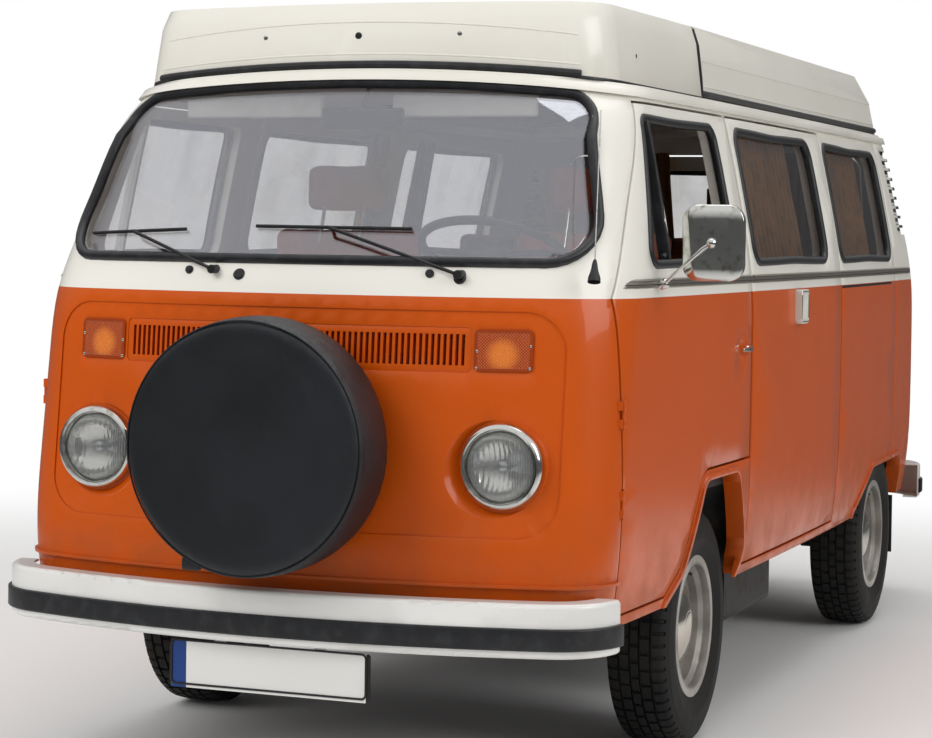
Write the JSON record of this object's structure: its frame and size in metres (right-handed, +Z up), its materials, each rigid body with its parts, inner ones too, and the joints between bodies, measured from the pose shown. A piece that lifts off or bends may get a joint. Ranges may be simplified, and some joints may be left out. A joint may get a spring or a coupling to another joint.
{
  "type": "camper van",
  "caption": "Forward-control camper van with a tilting roof, roof tray, covered spare wheel on the nose, opening doors, tailgate and engine lid, and steering front wheels.",
  "frame": {"origin": "on the floor under the middle of the vehicle's length, on its centre plane", "axes": "+Z up, the front faces -Y, +X is the vehicle's own left side"},
  "size_m": [1.9041, 4.704, 2.0059],
  "materials": {
    "body_paint": "gloss",
    "roof_paint": "gloss",
    "clear_glass": "clear",
    "lamp_glass": "ribbed",
    "tail_lamp_plastic": "gloss",
    "bumper_paint": "gloss",
    "black_rubber": "satin",
    "cover_vinyl": "satin",
    "canvas": "woven",
    "chassis_paint": "satin",
    "cast_metal": "cast",
    "exhaust_steel": "aged",
    "seat_fabric": "woven",
    "cabinet_board": "laminate",
    "floor_vinyl": "satin",
    "black_plastic": "matte",
    "bright_metal": "polished",
    "cover_plastic": "satin",
    "plate_metal": "satin",
    "tyre_rubber": "matte",
    "wheel_paint": "satin"
  },
  "bodies": {
    "van": {"bumper_strips": "black_rubber", "cabinets": "cabinet_board", "dashboard": "black_plastic", "engine": "cast_metal", "exhaust": "exhaust_steel", "floor_mat": "floor_vinyl", "floor_pan": "chassis_paint", "fresh_air_grille": "body_paint", "front_axle": "chassis_paint", "front_bumper": "bumper_paint", "front_lamps": "lamp_glass", "front_panel": "body_paint", "front_seats": "seat_fabric", "hookup_cover": "cover_plastic", "mud_flaps": "black_rubber", "plate_front": "plate_metal", "rear_axle": "chassis_paint", "rear_bench": "seat_fabric", "rear_bumper": "bumper_paint", "rear_panel": "body_paint", "roof_gaskets": "black_rubber", "roof_panel": "roof_paint", "roof_tray": "roof_paint", "side_frame_left": "body_paint", "side_frame_right": "body_paint", "side_glass": "clear_glass", "sliding_door": "body_paint", "spare_wheel": "cover_vinyl", "tail_lamps": "tail_lamp_plastic", "tent_fabric": "canvas", "under_floor_tank": "chassis_paint", "windscreen": "clear_glass", "wipers": "black_plastic"},
    "cab_door_left": {"cab_door_left": "body_paint", "vent_glass_left": "clear_glass", "door_mirror": "bright_metal", "door_handle_left": "bright_metal"},
    "cab_door_right": {"cab_door_right": "body_paint", "cab_door_glass_right": "clear_glass", "door_handle_right": "bright_metal"},
    "tailgate": {"tailgate": "body_paint", "tailgate_glass": "clear_glass"},
    "engine_lid": {"engine_lid": "body_paint", "plate_rear": "plate_metal"},
    "pop_top": {"pop_top": "roof_paint"},
    "steering_wheel": {"steering_wheel": "black_plastic"},
    "knuckle_left": {"knuckle_left": "chassis_paint"},
    "knuckle_right": {"knuckle_right": "chassis_paint"},
    "wheel_front_left": {"wheel_front_left": "wheel_paint", "tyre_front_left": "tyre_rubber"},
    "wheel_front_right": {"wheel_front_right": "wheel_paint", "tyre_front_right": "tyre_rubber"},
    "wheel_rear_left": {"wheel_rear_left": "wheel_paint", "tyre_rear_left": "tyre_rubber"},
    "wheel_rear_right": {"wheel_rear_right": "wheel_paint", "tyre_rear_right": "tyre_rubber"}
  },
  "joints": [
    {"name": "steer_left", "type": "hinge", "parent": "van", "child": "knuckle_left", "pos_m": [0.545, -1.05, 0.325], "axis": [0, 0, 1], "range_deg": [-30, 30]},
    {"name": "steer_right", "type": "hinge", "parent": "van", "child": "knuckle_right", "pos_m": [-0.545, -1.05, 0.325], "axis": [0, 0, 1], "range_deg": [-30, 30]},
    {"name": "steering_wheel_turn", "type": "hinge", "parent": "van", "child": "steering_wheel", "pos_m": [0.385, -1.66, 1.335], "axis": [0, 0.4203, 0.9074], "range_deg": [-420, 420]},
    {"name": "wheel_front_left_spin", "type": "hinge", "parent": "knuckle_left", "child": "wheel_front_left", "pos_m": [0.6975, -1.05, 0.325], "axis": [1, 0, 0], "continuous": true},
    {"name": "wheel_front_right_spin", "type": "hinge", "parent": "knuckle_right", "child": "wheel_front_right", "pos_m": [-0.6975, -1.05, 0.325], "axis": [1, 0, 0], "continuous": true},
    {"name": "wheel_rear_left_spin", "type": "hinge", "parent": "van", "child": "wheel_rear_left", "pos_m": [0.718, 1.35, 0.325], "axis": [1, 0, 0], "continuous": true},
    {"name": "wheel_rear_right_spin", "type": "hinge", "parent": "van", "child": "wheel_rear_right", "pos_m": [-0.718, 1.35, 0.325], "axis": [1, 0, 0], "continuous": true},
    {"name": "cab_door_left_swing", "type": "hinge", "parent": "van", "child": "cab_door_left", "pos_m": [0.8064, -1.8655, 0.85], "axis": [0, 0, -1], "range_deg": [0, 70]},
    {"name": "cab_door_right_swing", "type": "hinge", "parent": "van", "child": "cab_door_right", "pos_m": [-0.8064, -1.8655, 0.85], "axis": [0, 0, 1], "range_deg": [0, 70]},
    {"name": "tailgate_lift", "type": "hinge", "parent": "van", "child": "tailgate", "pos_m": [0, 2.0893, 1.7195], "axis": [1, 0, 0], "range_deg": [0, 85]},
    {"name": "engine_lid_lift", "type": "hinge", "parent": "van", "child": "engine_lid", "pos_m": [0, 2.2488, 0.9285], "axis": [1, 0, 0], "range_deg": [0, 80]},
    {"name": "pop_top_lift", "type": "hinge", "parent": "van", "child": "pop_top", "pos_m": [0, 1.925, 1.84], "axis": [-1, 0, 0], "range_deg": [0, 22]}
  ],
  "couplings": [
    {"joint": "steer_right", "follows": "steer_left", "ratio": 1},
    {"joint": "steering_wheel_turn", "follows": "steer_left", "ratio": 14}
  ]
}
